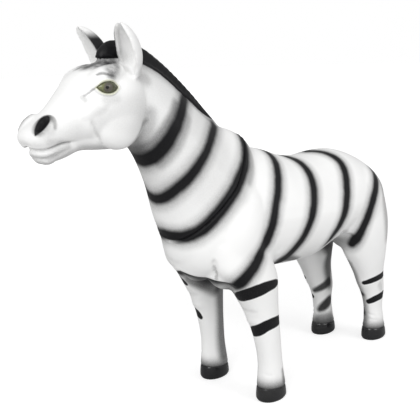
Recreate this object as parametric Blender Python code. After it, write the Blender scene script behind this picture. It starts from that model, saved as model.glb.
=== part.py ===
"""A large soft-vinyl toy zebra standing on four hooves: one casting for the body, one for the head and neck.

The zebra faces -Y and its left side is +X. Every form is lofted from rings whose places and sizes are shares
of the height at the withers. The forms are fused into one skin, and the two castings are cut apart at the
ring round the base of the neck.
"""

import math

import bmesh
import bpy
from mathutils import Matrix, Vector

# Driving dimensions in metres
WITHERS_HEIGHT = 0.34
SEAM_GAP = 0.0006
EAR_WALL = 0.0044

# Size of the small cubes that the skin is fused from, how often it is smoothed, and the triangles that it is
# then thinned to
SKIN_CUBE = 0.0024
SKIN_SMOOTHING = 9
SKIN_TRIANGLES = 9000

# The seam round the base of the neck: its centre in shares of the withers height, and its rise to the back
SEAM_CENTRE = (0.0, -0.45, 0.875)
SEAM_RISE = 44.0

RING_SIDES = 24
RINGS_PER_STATION = 4

# How far the soles lie under the zero of the stations, in shares of the withers height
SOLE_DROP = 0.012

WHITE_VINYL = (0.86, 0.86, 0.85, 1.0)

# Each station of a form is (x, y, z, tilt, half width, up, down, squareness, top share).
# A ring lies across the form: its width runs along X, and its up direction leans tilt degrees from +Z to +Y.
# Top share is how wide the ring is at its top, against 1 for an even ring.
TORSO = [
    (0, -0.622, 0.68, 0, 0.040, 0.040, 0.050, 2.0, 1.0),
    (0, -0.605, 0.68, 0, 0.092, 0.100, 0.110, 2.1, 1.0),
    (0, -0.560, 0.69, 0, 0.138, 0.160, 0.165, 2.2, 0.9),
    (0, -0.470, 0.70, 0, 0.176, 0.220, 0.195, 2.3, 0.8),
    (0, -0.340, 0.71, 0, 0.195, 0.270, 0.215, 2.2, 0.75),
    (0, -0.200, 0.71, 0, 0.200, 0.265, 0.225, 2.1, 0.75),
    (0, -0.060, 0.70, 0, 0.205, 0.230, 0.230, 2.0, 0.8),
    (0, 0.060, 0.69, 0, 0.208, 0.222, 0.225, 2.0, 0.85),
    (0, 0.180, 0.69, 0, 0.206, 0.228, 0.210, 2.0, 0.85),
    (0, 0.300, 0.70, 0, 0.200, 0.212, 0.190, 2.1, 0.85),
    (0, 0.420, 0.70, 0, 0.182, 0.172, 0.170, 2.1, 0.85),
    (0, 0.515, 0.69, 0, 0.148, 0.125, 0.150, 2.1, 0.9),
    (0, 0.570, 0.67, 0, 0.100, 0.085, 0.100, 2.0, 1.0),
    (0, 0.590, 0.66, 0, 0.050, 0.040, 0.050, 2.0, 1.0),
]

NECK = [
    (0, -0.350, 0.740, 42, 0.160, 0.240, 0.250, 2.1, 0.75),
    (0, -0.420, 0.820, 40, 0.176, 0.258, 0.300, 2.1, 0.70),
    (0, -0.470, 0.880, 40, 0.166, 0.218, 0.268, 2.1, 0.65),
    (0, -0.530, 0.950, 38, 0.150, 0.168, 0.238, 2.1, 0.60),
    (0, -0.600, 1.040, 34, 0.132, 0.152, 0.192, 2.1, 0.60),
    (0, -0.680, 1.130, 30, 0.116, 0.142, 0.155, 2.1, 0.60),
    (0, -0.760, 1.200, 22, 0.104, 0.135, 0.140, 2.1, 0.70),
    (0, -0.830, 1.240, 10, 0.090, 0.110, 0.110, 2.1, 0.90),
]

MANE = [
    (0, -0.412, 1.040, 45, 0.024, 0.012, 0.060, 2.6, 0.7),
    (0, -0.432, 1.066, 45, 0.028, 0.042, 0.070, 2.8, 0.7),
    (0, -0.484, 1.099, 45, 0.030, 0.060, 0.070, 3.0, 0.7),
    (0, -0.564, 1.179, 42, 0.032, 0.060, 0.080, 3.0, 0.7),
    (0, -0.654, 1.259, 36, 0.034, 0.060, 0.080, 3.0, 0.7),
    (0, -0.745, 1.314, 26, 0.036, 0.060, 0.080, 3.0, 0.7),
    (0, -0.800, 1.333, 10, 0.036, 0.060, 0.080, 3.0, 0.7),
    (0, -0.840, 1.341, -15, 0.034, 0.058, 0.080, 2.6, 0.8),
    (0, -0.868, 1.333, -35, 0.030, 0.048, 0.060, 2.4, 0.9),
    (0, -0.886, 1.325, -45, 0.018, 0.030, 0.040, 2.0, 1.0),
]

HEAD = [
    (0, -0.770, 1.255, -20, 0.060, 0.070, 0.080, 2.0, 1.0),
    (0, -0.800, 1.245, -25, 0.096, 0.095, 0.140, 2.1, 1.0),
    (0, -0.850, 1.225, -30, 0.116, 0.120, 0.150, 2.2, 0.95),
    (0, -0.920, 1.195, -34, 0.120, 0.130, 0.140, 2.3, 0.95),
    (0, -0.985, 1.170, -36, 0.102, 0.103, 0.105, 2.3, 0.95),
    (0, -1.045, 1.145, -36, 0.080, 0.080, 0.080, 2.3, 0.90),
    (0, -1.100, 1.125, -36, 0.072, 0.062, 0.065, 2.3, 0.90),
    (0, -1.145, 1.110, -36, 0.068, 0.050, 0.052, 2.3, 0.95),
    (0, -1.172, 1.102, -36, 0.058, 0.036, 0.040, 2.2, 1.0),
    (0, -1.186, 1.097, -36, 0.034, 0.020, 0.022, 2.0, 1.0),
]

LOWER_JAW = [
    (0, -0.830, 1.130, 0, 0.070, 0.060, 0.070, 2.2, 1.0),
    (0, -0.880, 1.125, 0, 0.074, 0.060, 0.076, 2.2, 1.0),
    (0, -0.940, 1.120, 0, 0.070, 0.060, 0.068, 2.2, 1.0),
    (0, -1.010, 1.105, 0, 0.060, 0.050, 0.048, 2.2, 1.0),
    (0, -1.065, 1.085, 0, 0.056, 0.040, 0.044, 2.2, 1.0),
    (0, -1.118, 1.070, 0, 0.052, 0.028, 0.037, 2.2, 1.0),
    (0, -1.158, 1.071, 0, 0.045, 0.018, 0.024, 2.0, 1.0),
    (0, -1.180, 1.074, 0, 0.024, 0.008, 0.012, 2.0, 1.0),
]

TAIL = [
    (0, 0.520, 0.800, -50, 0.030, 0.030, 0.030, 2.0, 1.0),
    (0, 0.565, 0.775, -60, 0.030, 0.030, 0.030, 2.0, 1.0),
    (0, 0.594, 0.720, -80, 0.028, 0.028, 0.030, 2.0, 1.0),
    (0, 0.602, 0.640, -90, 0.026, 0.026, 0.030, 2.0, 1.0),
    (0, 0.590, 0.550, -95, 0.030, 0.030, 0.034, 2.0, 1.0),
    (0, 0.570, 0.470, -100, 0.034, 0.032, 0.034, 2.0, 1.0),
    (0, 0.553, 0.410, -100, 0.028, 0.028, 0.028, 2.0, 1.0),
    (0, 0.545, 0.375, -100, 0.012, 0.012, 0.012, 2.0, 1.0),
]

# Left legs, whose rings lie level. The right legs mirror them, a step further forward
FORELEG = [
    (0.105, -0.430, 0.660, -90, 0.080, 0.130, 0.120, 2.1, 1.0),
    (0.120, -0.405, 0.570, -90, 0.080, 0.135, 0.150, 2.1, 1.0),
    (0.138, -0.366, 0.500, -90, 0.074, 0.112, 0.126, 2.1, 1.0),
    (0.144, -0.348, 0.450, -90, 0.069, 0.096, 0.104, 2.1, 1.0),
    (0.148, -0.326, 0.370, -90, 0.059, 0.074, 0.080, 2.1, 1.0),
    (0.152, -0.310, 0.300, -90, 0.051, 0.062, 0.067, 2.1, 1.0),
    (0.155, -0.299, 0.240, -90, 0.046, 0.057, 0.060, 2.1, 1.0),
    (0.157, -0.291, 0.180, -90, 0.043, 0.055, 0.056, 2.1, 1.0),
    (0.158, -0.288, 0.130, -90, 0.043, 0.055, 0.057, 2.1, 1.0),
    (0.158, -0.287, 0.080, -90, 0.046, 0.060, 0.063, 2.1, 1.0),
    (0.158, -0.286, 0.030, -90, 0.050, 0.065, 0.068, 2.1, 1.0),
    (0.158, -0.286, -0.030, -90, 0.050, 0.065, 0.068, 2.1, 1.0),
]

HINDLEG = [
    (0.095, 0.380, 0.700, -90, 0.090, 0.170, 0.160, 2.1, 1.0),
    (0.104, 0.400, 0.600, -90, 0.094, 0.190, 0.155, 2.1, 1.0),
    (0.110, 0.412, 0.530, -90, 0.088, 0.176, 0.143, 2.1, 1.0),
    (0.112, 0.430, 0.450, -90, 0.078, 0.142, 0.118, 2.1, 1.0),
    (0.113, 0.442, 0.390, -90, 0.068, 0.114, 0.100, 2.1, 1.0),
    (0.112, 0.450, 0.330, -90, 0.057, 0.084, 0.092, 2.1, 1.0),
    (0.111, 0.468, 0.275, -90, 0.049, 0.078, 0.084, 2.1, 1.0),
    (0.110, 0.486, 0.225, -90, 0.044, 0.066, 0.074, 2.1, 1.0),
    (0.110, 0.494, 0.175, -90, 0.039, 0.056, 0.058, 2.1, 1.0),
    (0.110, 0.497, 0.130, -90, 0.037, 0.052, 0.054, 2.1, 1.0),
    (0.110, 0.501, 0.085, -90, 0.041, 0.056, 0.058, 2.1, 1.0),
    (0.110, 0.504, 0.030, -90, 0.047, 0.066, 0.066, 2.1, 1.0),
    (0.110, 0.504, -0.030, -90, 0.047, 0.066, 0.066, 2.1, 1.0),
]

RIGHT_FORE_STEP = -0.012
RIGHT_HIND_STEP = -0.105

# Rounded masses under the skin: (x, y, z), (half size along X, Y, Z) and the lean from +Z to +Y
JOWL = ((0.060, -0.886, 1.150), (0.058, 0.096, 0.100), 0)
SHOULDER = ((0.080, -0.400, 0.680), (0.122, 0.150, 0.220), 15)
HAUNCH = ((0.072, 0.350, 0.650), (0.130, 0.200, 0.200), -10)
EYEBALL = ((0.090, -0.950, 1.257), (0.035, 0.042, 0.023), 0)
BROW = ((0.066, -0.930, 1.282), (0.046, 0.080, 0.036), -20)
NOSTRIL_WING = ((0.040, -1.138, 1.143), (0.032, 0.048, 0.034), -36)

# The left ear: its root and tip, how far its hollow turns outwards, and how far its middle bows back.
# Its half width, its depth against that, and how much wider it is on the side of the crown
EAR_ROOT = (0.082, -0.828, 1.280)
EAR_TIP = (0.118, -0.898, 1.448)
EAR_TURN = 26.0
EAR_BOW = 0.014
EAR_HALF_WIDTH = 0.039
EAR_DEPTH = 1.15
EAR_INNER_SPREAD = 1.42

# The ear's crescent reaches this many degrees round each way. Shares of its length: where its hollow is open
# and where it is widest. Shares of its width: the root's width and the most that its wall may take
EAR_REACH = 115.0
EAR_HOLLOW_OPEN = 0.3
EAR_WIDEST = 0.45
EAR_ROOT_SHARE = 0.65
EAR_WALL_SHARE = 0.6
EAR_RIM_POINTS = 11
EAR_RINGS = 12

# Lines pressed into the skin, or raised where the depth is negative: points, width and depth
MOUTH = ([(0.0, -1.178, 1.076), (0.040, -1.160, 1.077), (0.058, -1.100, 1.090), (0.064, -1.040, 1.098)], 0.015, 0.009)
NOSTRIL = ([(0.060, -1.170, 1.150), (0.066, -1.140, 1.165)], 0.028, 0.020)
UPPER_LID = ([(0.116, -1.000, 1.260), (0.128, -0.955, 1.283), (0.124, -0.903, 1.259)], 0.014, -0.007)
LOWER_LID = ([(0.116, -1.000, 1.260), (0.128, -0.955, 1.236), (0.124, -0.903, 1.259)], 0.012, -0.005)
CHEST_CREASE = ([(0.0, -0.600, 0.600), (0.0, -0.540, 0.500)], 0.035, 0.016)


def new_object(name, bm):
    mesh = bpy.data.meshes.new(name)
    bmesh.ops.recalc_face_normals(bm, faces=bm.faces)
    bm.to_mesh(mesh)
    bm.free()
    obj = bpy.data.objects.new(name, mesh)
    bpy.context.scene.collection.objects.link(obj)
    return obj


def between(a, b, c, d, t):
    """A value on the smooth Catmull-Rom curve from b to c."""
    return 0.5 * (2 * b + (c - a) * t + (2 * a - 5 * b + 4 * c - d) * t**2 + (3 * b - a - 3 * c + d) * t**3)


def smooth_stations(stations):
    """The stations with more between each two, on a smooth curve through all of them."""
    padded = [stations[0], *stations, stations[-1]]
    for i in range(len(stations) - 1):
        for step in range(RINGS_PER_STATION):
            t = step / RINGS_PER_STATION
            yield [between(*values, t) for values in zip(*padded[i : i + 4])]
    yield stations[-1]


def ring_points(station):
    """The points of one ring, in shares of the withers height."""
    x, y, z, tilt, half_width, up, down, squareness, top_share = station
    lean = math.radians(tilt)
    up_way = Vector((0, math.sin(lean), math.cos(lean)))
    centre = Vector((x, y, z))
    for i in range(RING_SIDES):
        angle = 2 * math.pi * i / RING_SIDES
        across, along = math.cos(angle), math.sin(angle)
        across = math.copysign(abs(across) ** (2 / squareness), across)
        along = math.copysign(abs(along) ** (2 / squareness), along)
        width = half_width * (1 + (top_share - 1) * max(0.0, along))
        height = (up if along > 0 else down) * along
        yield centre + Vector((across * width, 0, 0)) + up_way * height


def skin_rings(bm, rings, side=1, step=0.0):
    """Adds one closed form over its rings. Side -1 puts it on the zebra's right; step moves it along Y."""
    verts = []
    for ring in rings:
        points = [Vector((p.x * side, p.y + step, p.z)) * WITHERS_HEIGHT for p in ring]
        verts.append([bm.verts.new(p) for p in points])
    count = len(verts[0])
    for first, second in zip(verts, verts[1:]):
        for i in range(count):
            j = (i + 1) % count
            bm.faces.new((first[i], first[j], second[j], second[i]))
    bm.faces.new(verts[0][::-1])
    bm.faces.new(verts[-1])


def loft(bm, stations, side=1, step=0.0):
    skin_rings(bm, [list(ring_points(station)) for station in smooth_stations(stations)], side, step)


def add_mass(bm, mass, side):
    """Adds a rounded mass under the skin."""
    (x, y, z), half_sizes, lean = mass
    place = Matrix.Translation(Vector((x * side, y, z)) * WITHERS_HEIGHT)
    turn = Matrix.Rotation(math.radians(-lean), 4, "X")
    size = Matrix.Diagonal((*[half * WITHERS_HEIGHT for half in half_sizes], 1))
    bmesh.ops.create_icosphere(bm, subdivisions=3, radius=1, matrix=place @ turn @ size)


def ear_rings():
    """Crescents from the ear's root to its tip, open towards the front."""
    root, tip = Vector(EAR_ROOT), Vector(EAR_TIP)
    axis = (tip - root).normalized()
    turn = math.radians(EAR_TURN)
    facing = Vector((math.sin(turn), -math.cos(turn), 0))
    facing = (facing - axis * facing.dot(axis)).normalized()
    across = axis.cross(facing).normalized()
    reach = math.radians(EAR_REACH)
    crescent = [-reach + 2 * reach * i / (EAR_RIM_POINTS - 1) for i in range(EAR_RIM_POINTS)]
    for share in (k / EAR_RINGS for k in range(EAR_RINGS + 1)):
        # A leaf: a narrow root, widest near the middle and pointed at the tip
        swell = math.sin(min(share / EAR_WIDEST, 1.0) * math.pi / 2)
        width = EAR_HALF_WIDTH * (EAR_ROOT_SHARE + (1 - EAR_ROOT_SHARE) * swell)
        width *= math.sqrt(max(0.02, 1 - share**3))
        centre = root.lerp(tip, share) - facing * EAR_BOW * math.sin(math.pi * share)
        inner = width - min(EAR_WALL / WITHERS_HEIGHT, width * EAR_WALL_SHARE)
        # At the root the hollow fills up, so that the ear grows out of the head as one
        hollow = min(1.0, share / EAR_HOLLOW_OPEN)
        front = math.cos(reach) * width
        ring = []
        for angle in crescent:
            ring.append((math.sin(angle) * width, math.cos(angle) * width * EAR_DEPTH))
        for angle in reversed(crescent):
            depth = math.cos(angle) * inner * EAR_DEPTH
            ring.append((math.sin(angle) * inner, depth * hollow + (1 - hollow) * min(depth, front)))
        ring = [(side if side > 0 else side * EAR_INNER_SPREAD, backwards) for side, backwards in ring]
        yield [centre + across * sideways - facing * backwards for sideways, backwards in ring]


def distance_to_line(point, line):
    """How far a point is from a line of points."""
    best = 1e9
    for start, end in zip(line, line[1:]):
        along = end - start
        share = max(0.0, min(1.0, (point - start).dot(along) / along.length_squared))
        best = min(best, (point - start - along * share).length)
    return best


def press_line(mesh, line, side=1):
    """Presses a soft groove into the skin along a line, or raises a soft ridge."""
    points, width, depth = line
    path = [Vector((x * side, y, z)) * WITHERS_HEIGHT for x, y, z in points]
    reach = width * WITHERS_HEIGHT
    moves = []
    for vertex in mesh.vertices:
        gap = distance_to_line(vertex.co, path)
        if gap < reach:
            share = (1 - (gap / reach) ** 2) ** 2
            moves.append((vertex, vertex.normal * (-depth * WITHERS_HEIGHT * share)))
    for vertex, move in moves:
        vertex.co += move


def apply_modifier(obj, kind, **settings):
    """Adds a modifier, takes its result as the object's mesh and removes it."""
    modifier = obj.modifiers.new(kind.title(), kind)
    for name, value in settings.items():
        setattr(modifier, name, value)
    mesh = bpy.data.meshes.new_from_object(obj.evaluated_get(bpy.context.evaluated_depsgraph_get()))
    obj.modifiers.clear()
    obj.data = mesh


def fused_zebra():
    """The whole zebra as one closed skin."""
    bm = bmesh.new()
    for form in (TORSO, NECK, MANE, HEAD, LOWER_JAW, TAIL):
        loft(bm, form)
    for side, fore_step, hind_step in ((1, 0.0, 0.0), (-1, RIGHT_FORE_STEP, RIGHT_HIND_STEP)):
        loft(bm, FORELEG, side, fore_step)
        loft(bm, HINDLEG, side, hind_step)
        skin_rings(bm, list(ear_rings()), side)
        for mass in (JOWL, SHOULDER, HAUNCH, EYEBALL, BROW, NOSTRIL_WING):
            add_mass(bm, mass, side)
    obj = new_object("zebra", bm)
    apply_modifier(obj, "REMESH", mode="VOXEL", voxel_size=SKIN_CUBE)
    apply_modifier(obj, "SMOOTH", factor=0.5, iterations=SKIN_SMOOTHING)
    press_line(obj.data, CHEST_CREASE)
    for side in (1, -1):
        for line in (MOUTH, NOSTRIL, UPPER_LID, LOWER_LID):
            press_line(obj.data, line, side)
    obj.data.calc_loop_triangles()
    apply_modifier(obj, "DECIMATE", ratio=SKIN_TRIANGLES / len(obj.data.loop_triangles))
    return obj


def keep_side(skin, name, planes):
    """A casting: the part of the skin on the inner side of each plane, given by a point and its outward way."""
    bm = bmesh.new()
    bm.from_mesh(skin.data)
    for point, outward in planes:
        everything = bm.verts[:] + bm.edges[:] + bm.faces[:]
        bmesh.ops.bisect_plane(
            bm, geom=everything, plane_co=point, plane_no=outward, clear_outer=True, dist=1e-6
        )
        open_edges = [edge for edge in bm.edges if edge.is_boundary]
        bmesh.ops.edgenet_fill(bm, edges=open_edges)
    bmesh.ops.triangulate(bm, faces=[face for face in bm.faces if len(face.verts) > 3])
    return new_object(name, bm)


def stand_on_origin(castings):
    """Moves the castings so that the middle of their box, at the soles, is the origin."""
    corners = [vertex.co for casting in castings for vertex in casting.data.vertices]
    low = Vector([min(corner[i] for corner in corners) for i in range(3)])
    high = Vector([max(corner[i] for corner in corners) for i in range(3)])
    shift = Matrix.Translation((-(low.x + high.x) / 2, -(low.y + high.y) / 2, -low.z))
    for casting in castings:
        casting.data.transform(shift)


def white_vinyl():
    material = bpy.data.materials.new("White vinyl")
    material.use_nodes = True
    shader = material.node_tree.nodes["Principled BSDF"]
    shader.inputs["Base Color"].default_value = WHITE_VINYL
    shader.inputs["Roughness"].default_value = 0.45
    shader.inputs["Metallic"].default_value = 0.0
    return material


def main():
    for obj in list(bpy.data.objects):
        bpy.data.objects.remove(obj)
    skin = fused_zebra()
    rise = math.radians(SEAM_RISE)
    headward = Vector((0, -math.sin(rise), math.cos(rise)))
    seam = Vector(SEAM_CENTRE) * WITHERS_HEIGHT
    half_gap = headward * SEAM_GAP / 2
    floor = (Vector((0, 0, -SOLE_DROP * WITHERS_HEIGHT)), Vector((0, 0, -1)))
    body = keep_side(skin, "body", [(seam - half_gap, headward), floor])
    head_and_neck = keep_side(skin, "head_and_neck", [(seam + half_gap, -headward)])
    bpy.data.objects.remove(skin)
    stand_on_origin((body, head_and_neck))
    for casting in (body, head_and_neck):
        casting.data.materials.append(white_vinyl())


main()
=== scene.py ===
"""A large soft-vinyl toy zebra: its two castings with moulded detail and airbrushed paint, on a pale studio floor.

The tables of forms, creases, stripes, sprays and painted shade are in thousandths of the height at the withers,
and single values are shares of it. The zebra faces -Y and its left side is +X. A line is given for the left side
and repeated on the right.
"""

import math

import bpy
import numpy as np
from bpy.props import FloatProperty, FloatVectorProperty, PointerProperty
from mathutils import Matrix, Vector
from mathutils.bvhtree import BVHTree


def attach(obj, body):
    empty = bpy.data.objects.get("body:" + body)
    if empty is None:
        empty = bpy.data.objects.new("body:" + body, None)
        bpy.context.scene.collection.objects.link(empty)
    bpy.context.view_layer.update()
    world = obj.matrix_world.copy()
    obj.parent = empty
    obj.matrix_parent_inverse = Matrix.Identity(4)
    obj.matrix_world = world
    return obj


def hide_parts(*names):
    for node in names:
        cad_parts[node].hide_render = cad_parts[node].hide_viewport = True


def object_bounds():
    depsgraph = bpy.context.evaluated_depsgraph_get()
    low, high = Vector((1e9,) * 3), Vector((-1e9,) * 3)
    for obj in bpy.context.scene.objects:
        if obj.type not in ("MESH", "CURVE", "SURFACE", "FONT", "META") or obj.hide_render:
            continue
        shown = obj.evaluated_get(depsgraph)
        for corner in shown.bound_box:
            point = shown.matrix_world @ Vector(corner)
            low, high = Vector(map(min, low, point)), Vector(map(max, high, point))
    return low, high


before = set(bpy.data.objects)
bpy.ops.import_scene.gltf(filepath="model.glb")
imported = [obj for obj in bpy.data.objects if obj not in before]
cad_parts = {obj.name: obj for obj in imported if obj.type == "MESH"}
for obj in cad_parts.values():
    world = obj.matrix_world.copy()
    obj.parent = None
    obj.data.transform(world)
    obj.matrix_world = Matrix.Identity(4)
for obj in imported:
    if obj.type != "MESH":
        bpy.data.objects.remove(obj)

bl_info = {
    "name": "Vinyl toy zebra",
    "version": (1, 0, 0),
    "blender": (4, 5, 0),
    "location": "View3D > Sidebar > Zebra",
    "description": "Models and paints a hollow soft-vinyl toy zebra and its studio stage",
    "category": "Object",
}

CAD_LOW, CAD_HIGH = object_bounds()
THOUSAND = 1000

# The whole figure's height as a share of the height at its withers
HEIGHT_SHARE = 1.4592

# The seam round the base of the neck: its centre, its rise to the back in degrees, and its open gap in metres
SEAM_CENTRE = (0.0, -0.45, 0.875)
SEAM_RISE = 44.0
SEAM_GAP = 0.0006

# The soles are cut this far below the stations' own ground
SOLE_DROP = 0.012

# The middle of the whole figure along Y, which is the frame's origin
FIGURE_MIDDLE = -0.28253

# Points round each ring of a form, rings from one station to the next, and steps between two points of a line
RING_SIDES = 40
RINGS_PER_STATION = 6
LINE_STEPS = 8

# Each station of a form is (x, y, z, tilt, half width, up, down, squareness, top share).
# A ring lies across the form: its width runs along X, and its up direction leans tilt degrees from +Z to +Y.
# Top share is how wide the ring is at its top, against 1 for an even ring. The length columns are in thousandths.
LENGTH_COLUMNS = [0, 1, 2, 4, 5, 6]
TORSO = [
    (0, -622, 680, 0, 40, 40, 50, 2, 1),
    (0, -605, 680, 0, 92, 100, 110, 2.1, 1),
    (0, -560, 690, 0, 138, 160, 165, 2.2, 0.9),
    (0, -470, 700, 0, 176, 220, 195, 2.3, 0.8),
    (0, -340, 710, 0, 195, 270, 215, 2.2, 0.75),
    (0, -200, 710, 0, 200, 265, 225, 2.1, 0.75),
    (0, -60, 700, 0, 205, 230, 230, 2, 0.8),
    (0, 60, 690, 0, 208, 222, 225, 2, 0.85),
    (0, 180, 690, 0, 206, 228, 194, 2, 0.85),
    (0, 300, 700, 0, 200, 212, 174, 2.1, 0.85),
    (0, 420, 700, 0, 182, 172, 170, 2.1, 0.85),
    (0, 515, 690, 0, 148, 125, 150, 2.1, 0.9),
    (0, 570, 670, 0, 100, 85, 100, 2, 1),
    (0, 590, 660, 0, 50, 40, 50, 2, 1),
]

NECK = [
    (0, -350, 740, 42, 160, 240, 250, 2.1, 0.75),
    (0, -420, 820, 40, 176, 250, 300, 2.1, 0.7),
    (0, -470, 880, 40, 166, 229, 268, 2.1, 0.65),
    (0, -530, 950, 38, 150, 180, 238, 2.1, 0.6),
    (0, -600, 1040, 34, 132, 152, 192, 2.1, 0.6),
    (0, -680, 1130, 30, 116, 142, 155, 2.1, 0.6),
    (0, -760, 1200, 22, 104, 135, 140, 2.1, 0.7),
    (0, -830, 1240, 10, 90, 110, 110, 2.1, 0.9),
]

MANE = [
    (0, -392, 1030, 45, 24, 38, 60, 2.6, 0.7),
    (0, -432, 1066, 45, 26, 44, 70, 2.8, 0.7),
    (0, -484, 1099, 45, 28, 56, 70, 3, 0.7),
    (0, -564, 1179, 42, 31, 55, 80, 3, 0.7),
    (0, -654, 1259, 36, 34, 53, 80, 3, 0.7),
    (0, -745, 1314, 26, 36, 60, 80, 3, 0.7),
    (0, -800, 1333, 10, 36, 60, 80, 3, 0.7),
    (0, -840, 1341, -15, 34, 58, 80, 2.6, 0.8),
    (0, -868, 1333, -35, 30, 48, 60, 2.4, 0.9),
    (0, -886, 1325, -45, 18, 30, 40, 2, 1),
]

HEAD = [
    (0, -770, 1255, -20, 60, 70, 80, 2, 1),
    (0, -800, 1245, -25, 96, 95, 140, 2.1, 1),
    (0, -850, 1225, -30, 116, 120, 150, 2.2, 0.95),
    (0, -920, 1195, -34, 120, 130, 140, 2.3, 0.95),
    (0, -985, 1170, -36, 102, 103, 105, 2.3, 0.95),
    (0, -1045, 1145, -36, 80, 80, 80, 2.3, 0.9),
    (0, -1100, 1125, -36, 72, 62, 65, 2.3, 0.9),
    (0, -1145, 1110, -36, 68, 50, 52, 2.3, 0.95),
    (0, -1172, 1102, -36, 58, 36, 40, 2.2, 1),
    (0, -1186, 1097, -36, 34, 20, 22, 2, 1),
]

LOWER_JAW = [
    (0, -830, 1130, 0, 70, 60, 70, 2.2, 1),
    (0, -880, 1125, 0, 74, 60, 76, 2.2, 1),
    (0, -940, 1120, 0, 70, 60, 68, 2.2, 1),
    (0, -1010, 1105, 0, 60, 50, 48, 2.2, 1),
    (0, -1065, 1085, 0, 56, 40, 44, 2.2, 1),
    (0, -1118, 1070, 0, 52, 28, 37, 2.2, 1),
    (0, -1146, 1069, 0, 45, 18, 24, 2, 1),
    (0, -1163, 1071, 0, 24, 8, 12, 2, 1),
]

TAIL = [
    (0, 520, 800, -50, 30, 30, 30, 2, 1),
    (0, 565, 775, -60, 30, 30, 30, 2, 1),
    (0, 594, 720, -80, 28, 28, 30, 2, 1),
    (0, 602, 640, -90, 26, 26, 30, 2, 1),
    (0, 590, 550, -95, 30, 30, 34, 2, 1),
    (0, 570, 470, -100, 34, 32, 34, 2, 1),
    (0, 553, 410, -100, 28, 28, 28, 2, 1),
    (0, 545, 375, -100, 12, 12, 12, 2, 1),
]

# Left legs, whose rings lie level. The right legs mirror them, a step further forward
FORELEG = [
    (105, -430, 660, -90, 80, 130, 120, 2.1, 1),
    (120, -405, 570, -90, 80, 135, 150, 2.1, 1),
    (138, -366, 500, -90, 74, 112, 126, 2.1, 1),
    (144, -348, 450, -90, 69, 96, 104, 2.1, 1),
    (148, -326, 370, -90, 59, 74, 80, 2.1, 1),
    (152, -310, 300, -90, 51, 62, 67, 2.1, 1),
    (155, -299, 240, -90, 46, 57, 60, 2.1, 1),
    (157, -291, 180, -90, 43, 55, 56, 2.1, 1),
    (158, -288, 130, -90, 43, 55, 57, 2.1, 1),
    (158, -287, 80, -90, 46, 60, 63, 2.1, 1),
    (158, -286, 30, -90, 50, 65, 68, 2.1, 1),
    (158, -286, -30, -90, 50, 65, 68, 2.1, 1),
]

HINDLEG = [
    (95, 380, 700, -90, 90, 170, 160, 2.1, 1),
    (104, 400, 600, -90, 94, 190, 155, 2.1, 1),
    (110, 412, 530, -90, 88, 176, 143, 2.1, 1),
    (112, 430, 450, -90, 78, 142, 118, 2.1, 1),
    (113, 442, 390, -90, 68, 114, 100, 2.1, 1),
    (112, 450, 330, -90, 57, 84, 92, 2.1, 1),
    (111, 468, 275, -90, 49, 78, 84, 2.1, 1),
    (110, 486, 225, -90, 44, 66, 74, 2.1, 1),
    (110, 494, 175, -90, 39, 56, 58, 2.1, 1),
    (110, 497, 130, -90, 37, 52, 54, 2.1, 1),
    (110, 501, 85, -90, 41, 56, 58, 2.1, 1),
    (110, 504, 30, -90, 47, 66, 66, 2.1, 1),
    (110, 504, -30, -90, 47, 66, 66, 2.1, 1),
]

RIGHT_FORE_STEP = -0.012
RIGHT_HIND_STEP = -0.105

# Rounded masses under the skin, in shares: (x, y, z), (half size along X, Y, Z) and the lean from +Z to +Y
JOWL = ((0.060, -0.886, 1.150), (0.058, 0.096, 0.100), 0)
SHOULDER = ((0.080, -0.400, 0.680), (0.122, 0.150, 0.220), 15)
HAUNCH = ((0.072, 0.350, 0.650), (0.130, 0.200, 0.200), -10)
EYEBALL = ((0.090, -0.950, 1.257), (0.035, 0.042, 0.023), 0)
BROW = ((0.066, -0.930, 1.282), (0.046, 0.080, 0.036), -20)
NOSTRIL_WING = ((0.040, -1.138, 1.143), (0.032, 0.048, 0.034), -36)

# The left ear: its root and tip, how far its hollow turns outwards in degrees, and how far its middle bows back.
# Its half width, its depth against that, and how much wider it is on the side of the crown
EAR_ROOT = (0.082, -0.828, 1.280)
EAR_TIP = (0.118, -0.898, 1.448)
EAR_TURN = 12.0
EAR_BOW = 0.014
EAR_HALF_WIDTH = 0.039
EAR_DEPTH = 1.15
EAR_INNER_SPREAD = 1.42
EAR_WALL = 0.013

# The ear's crescent reaches this many degrees round each way. Shares of its length: where its hollow is open
# and where it is widest. Shares of its width: the root's width and the most that its wall may take
EAR_REACH = 115.0
EAR_HOLLOW_OPEN = 0.3
EAR_WIDEST = 0.45
EAR_ROOT_SHARE = 0.65
EAR_WALL_SHARE = 0.6
EAR_RIM_POINTS = 21
EAR_RINGS = 24

# The eye's own plane: its middle, the way to its front corner, its half length and its half height
EYE_CENTRE = (0.118, -0.949, 1.2545)
EYE_FORWARD = (-0.10, -0.993, 0.045)
EYE_HALF_LENGTH = 0.038
EYE_HALF_HEIGHT = 0.0185

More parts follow.
